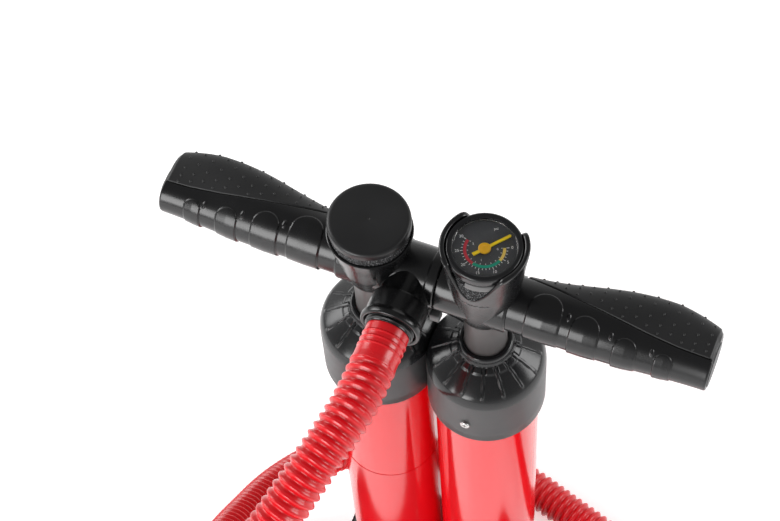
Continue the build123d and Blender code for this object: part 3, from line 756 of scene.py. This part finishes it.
def make_cup(word, side):
    """Cup of the handle, with its stub of the bar and the lip round the rod."""
    turns = [2 * pi * j / CUP_COLUMNS for j in range(CUP_COLUMNS)]
    sections = [cup_section(side, rim_height(side, a)) for a in turns]
    put = place_up(side * AXIS_X)
    points = [put(r, a, z) for row in zip(*sections) for a, (r, z) in zip(turns, row)]
    faces = grid_faces(len(sections[0]), CUP_COLUMNS)
    shell = piece("cup_" + word + "_shell", points, faces, [MAT["cup"]], sharp=50)
    inner = STUB_INNER[side]
    stub_outline = [
        (3, inner), (STUB_R, inner), (STUB_R, inner + side * 6), (STUB_R, side * (STUB_OUTER - 1.5)),
        (STUB_R - 0.8, side * STUB_OUTER), (3, side * STUB_OUTER),
    ]
    stub = turned("stub_" + word, stub_outline, place_along(0, BAR_Z), MAT["cup"], ease=1.0)
    lip_outline = [(16.9, 572.8), (19.8, 572.8), (20.6, 574.6), (20.6, 577.2), (16.9, 577.2)]
    lip = turned("lip_" + word, lip_outline, put, MAT["cup"], ease=0.7)
    made = joined("cup_" + word + "_moulded", [shell, stub, lip])
    stands_for(made, "handle", "black_plastic", "cup_" + word)


make_cup("left", -1)
make_cup("right", 1)

# ---- handle middle, outlet and nut --------------------------------------
BAR_MIDDLE = [(8, -30), (22.6, -30), (22.6, 3), (23.2, 4), (23.2, 10.6), (22.4, 11.4), (8, 11.4)]
BOSS = [(11, 4), (19.4, 4), (19.4, 29.8), (17.2, 30), (17.2, 40), (11, 40)]
LUGS = ((4.5, 5.0), (13.0, 8.0))
NUT = [
    (19.7, 28.4), (21.8, 28.4), (22.2, 30), (22.5, 44.5), (23.2, 46.4), (23.9, 47.6), (23.9, 50.6),
    (23.1, 52), (21.0, 52), (20.2, 50.2), (19.7, 46),
]
OUTLET = place_forward(OUTLET_X, BAR_Z)
THREAD_TURNS = 5
THREAD_PITCH = 2.4
THREAD_ROOT = 18.0
THREAD_CREST = 19.2
CUFF_RINGS = 3
CUFF_PITCH = 5.2
CUFF_R = 16.95
CUFF_RING_R = 17.5


def make_bar():
    parts = [
        turned("bar_middle", BAR_MIDDLE, place_along(0, BAR_Z), MAT["cup"]),
        turned("boss", BOSS, OUTLET, MAT["cup"], ease=0.8),
    ]
    parts += [block("lug", (x, -20.0, 574.5), (wide, 8.0, 9.0), 0.8, MAT["tab"]) for x, wide in LUGS]
    made = joined("handle_bar_moulded", parts)
    stands_for(made, "handle", "black_plastic", "handle_bar")


def make_nut():
    made = turned("swivel_nut_moulded", NUT, OUTLET, MAT["cup"], 160, 0.7)
    stands_for(made, "swivel_nut", "black_plastic", "swivel_nut")


def make_threads():
    outline = [(16.7, 42)]
    for k in range(THREAD_TURNS):
        y = 42.6 + k * THREAD_PITCH
        outline += [(THREAD_ROOT, y), (THREAD_CREST, y + 0.5)]
        outline += [(THREAD_CREST, y + 1.1), (THREAD_ROOT, y + 1.7)]
    outline += [(THREAD_ROOT, 55.2), (16.7, 55.2)]
    made = turned("hose_thread_rings", outline, OUTLET, MAT["cup"], ease=0.3)
    stands_for(made, "handle", "black_plastic", "hose_thread_ring")


def make_cuff():
    """Red cuff between the nut and the ribbed hose, with three raised rings."""
    outline = [(14.2, 52.0), (16.6, 52.0), (16.9, 55.4), (CUFF_R, 60.6)]
    for k in range(CUFF_RINGS):
        y = 61.6 + CUFF_PITCH * k
        outline += [(CUFF_R, y), (CUFF_RING_R, y + 0.7), (CUFF_RING_R, y + 1.4), (CUFF_R, y + 2.1)]
    outline += [(17.0, 80.5), (17.4, 83.6), (17.8, 86.0), (14.2, 86.0)]
    made = turned("hose_cuff_moulded", outline, OUTLET, MAT["hose"], ease=0.5)
    stands_for(made, "handle", "red_hose", "hose_cuff")


make_bar()
make_nut()
make_threads()
make_cuff()

# ---- selector knob and foams --------------------------------------------
KNOB = [
    (0.02, 645), (27, 645), (27, 643.3), (31.0, 643.3), (31.5, 644.2), (31.5, 648.2), (31.1, 649.6),
    (30.0, 650.6), (28.4, 651.0), (0.02, 651.0),
]
FOAM_COLUMNS = 300
FOAM_STEP = 0.45
FOAM_TABLE = 4096


def make_knob():
    made = turned("selector_knob_disc", KNOB, place_up(-AXIS_X), MAT["knob"], 160, 1.2, sharp=60)
    stands_for(made, "selector", "black_plastic", "selector_knob")


def rough_foam(amount, seed):
    """Change of radius that gives foam its crumbled face."""
    rng = random.Random(seed)
    table = [rng.uniform(-amount, amount) for _ in range(FOAM_TABLE)]
    return lambda r, a, h: (r + table[int(a * 61.7 + h * 37.1) % FOAM_TABLE], h)


crumble_left = rough_foam(0.28, 3)
crumble_right = rough_foam(0.3, 5)


def notch_foam(r, a, h):
    """Crumbled face that swells out through the notch in front of the gauge."""
    r, h = crumble_right(r, a, h)
    azimuth = degrees(a) - 360 if a > pi else degrees(a)
    swell = smooth(-122, -108, azimuth) * (1 - smooth(-66, -52, azimuth))
    return (r + 1.7 * swell * smooth(25.0, 26.5, r), h)


def foam_rows(low, high, radius, top_in):
    """Outside of a foam ring, drawn in a little at half height, and its top edge."""
    rows = int((high - low) / FOAM_STEP)
    outline = []
    for k in range(rows + 1):
        outline.append((radius - 0.2 * sin(pi * k / rows), low + (high - low) * k / rows))
    return outline + [(top_in, high)]


def make_foam(word, side, outline, change):
    name = "filter_foam_" + word
    place = place_up(side * AXIS_X)
    made = turned(name + "_open_cell", outline, place, MAT["foam"], FOAM_COLUMNS, 0.0, change, 180)
    stands_for(made, "handle", "foam", name)


make_knob()
make_foam("left", -1, [(7, 613)] + foam_rows(630, 643.0, 30.2, 7), crumble_left)
make_foam("right", 1, [(22.6, 616), (24.5, 618)] + foam_rows(626, 653.6, 27.0, 22.6), notch_foam)

# ---- gauge --------------------------------------------------------------
GAUGE = place_up(AXIS_X)
DIAL_Z = 661.8
PRINT_Z = DIAL_Z + 0.02
PRINT_THICK = 0.08

# Angles of the scale, clockwise from its zero, and the way that its numerals face.
SCALE_START = 24.0
SCALE_SPAN = 216.0
NUMERAL_TURN = 26.0
BANDS = (("print_amber", 0, 44), ("print_green", 44, 86), ("print_red", 130, 86))
DIAL_PLATE = [(1.45, DIAL_Z - 0.9), (23.9, DIAL_Z - 0.9), (23.9, DIAL_Z), (1.45, DIAL_Z)]
DIAL_RIM = [(23.1, DIAL_Z), (23.8, DIAL_Z), (23.8, DIAL_Z + 1.6), (23.4, DIAL_Z + 1.6)]
BEZEL = [
    (24.1, 657.1), (27.6, 657.1), (28.5, 658.4), (28.8, 660.0), (28.8, 664.2), (28.3, 665.6),
    (27.2, 666.5), (25.2, 666.6), (24.0, 666.2), (23.6, 665.95), (24.1, 665.95),
]
LENS_OUTLINE = [(0.02, 664.7), (24.0, 664.7), (24.0, 665.85), (12.0, 665.95), (0.02, 665.95)]
TAB = ((26.8, 650.6), (28.4, 650.2), (29.0, 650.9), (29.0, 656.0), (28.4, 656.8), (26.8, 656.9))
TAB_START = -99
TAB_SWEEP = 50
TAB_STEPS = 16
NEEDLE_Z = DIAL_Z + 0.85
NEEDLE_TURN = 50.0
NEEDLE = [
    (-9.8, -1.5), (-4, -1.35), (0, -1.3), (21.2, -1.2), (21.8, 0), (21.2, 1.2), (0, 1.3), (-4, 1.35),
    (-9.8, 1.5),
]
HUB = [
    (0.02, NEEDLE_Z), (4.7, NEEDLE_Z), (4.7, NEEDLE_Z + 0.85), (4.0, NEEDLE_Z + 1.3),
    (2.0, NEEDLE_Z + 1.3), (1.7, NEEDLE_Z + 1.6), (0.02, NEEDLE_Z + 1.6),
]
SPINDLE = [(0.02, 631), (1.3, 631), (1.3, NEEDLE_Z), (0.02, NEEDLE_Z)]


def flat_arc(name, inner, outer, start, sweep, material):
    """Printed band on the dial."""
    steps = max(2, int(abs(sweep) / 3))
    section = (
        (inner, PRINT_Z), (outer, PRINT_Z), (outer, PRINT_Z + PRINT_THICK), (inner, PRINT_Z + PRINT_THICK),
    )
    angles = [radians(start + sweep * k / steps) for k in range(steps + 1)]
    points = [GAUGE(r, a, h) for a in angles for r, h in section]
    faces = grid_faces(steps + 1, 4)
    faces += [(0, 1, 2, 3), tuple(4 * steps + k for k in (3, 2, 1, 0))]
    return piece(name, points, faces, [material], sharp=30)


def ticks(count, radius, wide, lengths):
    """Marks along the scale, their lengths taken in turn."""
    sweep = degrees(wide / radius)
    made = []
    for k in range(count + 1):
        angle = SCALE_START - SCALE_SPAN * k / count
        long = lengths[k % len(lengths)]
        made.append(flat_arc("tick", radius, radius + long, angle - sweep / 2, sweep, MAT["print_white"]))
    return made


def numeral(text, radius, angle, size):
    data = bpy.data.curves.new("numeral", "FONT")
    data.body = text
    data.size = size * MM
    data.align_x = "CENTER"
    data.align_y = "CENTER"
    data.extrude = 0.00004
    data.resolution_u = 3
    holder = bpy.data.objects.new("numeral", data)
    bpy.context.scene.collection.objects.link(holder)
    mesh = bpy.data.meshes.new_from_object(holder)
    bpy.data.objects.remove(holder)
    spot = [v * MM for v in GAUGE(radius, radians(angle), DIAL_Z + 0.12)]
    mesh.transform(Matrix.Translation(spot) @ Matrix.Rotation(radians(NUMERAL_TURN), 4, "Z"))
    mesh.materials.clear()
    mesh.materials.append(MAT["print_white"])
    made = bpy.data.objects.new("numeral", mesh)
    bpy.context.scene.collection.objects.link(made)
    return made


def make_dial():
    parts = [turned("dial_plate", DIAL_PLATE, GAUGE, MAT["dial"], ease=0.1)]
    for look, start, sweep in BANDS:
        parts.append(flat_arc("band", 13.2, 15.4, SCALE_START - start, -sweep, MAT[look]))
    parts += ticks(24, 15.7, 0.42, (2.0, 1.2, 1.2, 1.2))
    parts += ticks(12, 11.9, 0.36, (0.9,))
    for k in range(7):
        parts.append(numeral(str(5 * k), 19.8, SCALE_START - 36.0 * k, 3.2))
    for k in range(3):
        parts.append(numeral(str(k), 9.4, SCALE_START - 4 - 104.0 * k, 2.4))
    parts.append(numeral("psi", 18.6, 84.0, 3.0))
    parts.append(turned("dial_rim", DIAL_RIM, GAUGE, MAT["steel"], ease=0.1))
    made = joined("gauge_dial_printed", parts)
    stands_for(made, "handle", "dial_grey", "gauge_dial")


def make_bezel():
    made = turned("gauge_bezel_ring", BEZEL, GAUGE, MAT["cap"], 160, 0.35)
    stands_for(made, "handle", "gloss_black", "gauge_bezel")


def make_lens():
    made = turned("gauge_lens_dome", LENS_OUTLINE, GAUGE, LENS, ease=0.2)
    stands_for(made, "handle", "lens", "gauge_lens")


def make_tab():
    """Small grey strip under the bezel, seen in the notch of the right cup."""
    count = len(TAB)
    angles = [radians(TAB_START + TAB_SWEEP * k / TAB_STEPS) for k in range(TAB_STEPS + 1)]
    points = [GAUGE(r, a, z) for a in angles for r, z in TAB]
    faces = grid_faces(len(angles), count)
    faces += [tuple(range(count)), tuple(range(len(points) - 1, len(points) - count - 1, -1))]
    tab = piece("cup_tab", points, faces, [MAT["tab"]])
    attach(tab, "handle")


def make_needle():
    """Bar of the needle, bevelled on top, with its hub and its spindle."""
    turn = radians(NEEDLE_TURN)
    points = []
    for share, z in ((1, NEEDLE_Z), (0.8, NEEDLE_Z + 0.75)):
        for x, wide in NEEDLE:
            y = wide * share
            points.append((AXIS_X + x * cos(turn) - y * sin(turn), x * sin(turn) + y * cos(turn), z))
    count = len(NEEDLE)
    faces = [tuple(range(count - 1, -1, -1)), tuple(range(count, 2 * count))]
    faces += grid_faces(2, count)
    pointer = piece("pointer", points, faces, [MAT["yellow"]], sharp=30)
    hub = turned("hub", HUB, GAUGE, MAT["hub"], 64, 0.3)
    spindle = turned("spindle", SPINDLE, GAUGE, MAT["brass"], 24, 0.1)
    made = joined("gauge_needle_painted", [pointer, hub, spindle])
    stands_for(made, "needle", "yellow", "gauge_needle")


make_dial()
make_bezel()
make_lens()
make_tab()
make_needle()

# ---- studio -------------------------------------------------------------
FLOOR_GLOW = 0.42
FLOOR_HALF = 6
FLOOR_DROP = 0.0005

# Strength of the world light near the horizon and overhead.
WORLD_LOW = 0.8
WORLD_HIGH = 0.2

# Area lights: name, place, size, power.
LIGHTS = (
    ("front", (-0.9, -2.7, 1.4), 1.6, 62),
    ("left", (-2.4, 0.3, 1.7), 1.4, 34),
    ("right", (2.3, 1.0, 1.6), 1.4, 34),
)
LIGHT_AIM = Vector((0, 0, 0.5))


def make_floor():
    """White paper that glows a little, so that it shows as plain white."""
    corners = [(-FLOOR_HALF, -FLOOR_HALF, 0), (FLOOR_HALF, -FLOOR_HALF, 0)]
    corners += [(FLOOR_HALF, FLOOR_HALF, 0), (-FLOOR_HALF, FLOOR_HALF, 0)]
    mesh = bpy.data.meshes.new("floor")
    mesh.from_pydata(corners, [], [(0, 1, 2, 3)])
    mesh.materials.append(surface(
        "studio_floor", (0.92, 0.92, 0.92), 0.9, 60, 0.02, 0.04, 0.0, 3.0,
        Emission_Color=(1, 1, 1, 1), Emission_Strength=FLOOR_GLOW,
    ))
    floor = bpy.data.objects.new("floor", mesh)
    floor.location.z = -FLOOR_DROP
    bpy.context.scene.collection.objects.link(floor)


def make_world():
    """White surroundings, darker overhead so that black plastic stays black."""
    world = bpy.data.worlds.new("studio")
    world.use_nodes = True
    tree = world.node_tree
    coords = tree.nodes.new("ShaderNodeTexCoord")
    split = tree.nodes.new("ShaderNodeSeparateXYZ")
    ranged = tree.nodes.new("ShaderNodeMapRange")
    ranged.inputs["From Min"].default_value = 0.1
    ranged.inputs["From Max"].default_value = 0.8
    ranged.inputs["To Min"].default_value = WORLD_LOW
    ranged.inputs["To Max"].default_value = WORLD_HIGH
    tree.links.new(coords.outputs["Generated"], split.inputs["Vector"])
    tree.links.new(split.outputs["Z"], ranged.inputs["Value"])
    tree.links.new(ranged.outputs["Result"], tree.nodes["Background"].inputs["Strength"])
    tree.nodes["Background"].inputs["Color"].default_value = (1, 1, 1, 1)
    bpy.context.scene.world = world


def make_lights():
    for name, place, size, power in LIGHTS:
        data = bpy.data.lights.new(name, "AREA")
        data.size = size
        data.energy = power
        light = bpy.data.objects.new(name, data)
        light.location = place
        light.rotation_euler = (LIGHT_AIM - Vector(place)).to_track_quat("-Z", "Y").to_euler()
        bpy.context.scene.collection.objects.link(light)


bpy.context.scene.view_settings.view_transform = "Standard"
make_floor()
make_world()
make_lights()
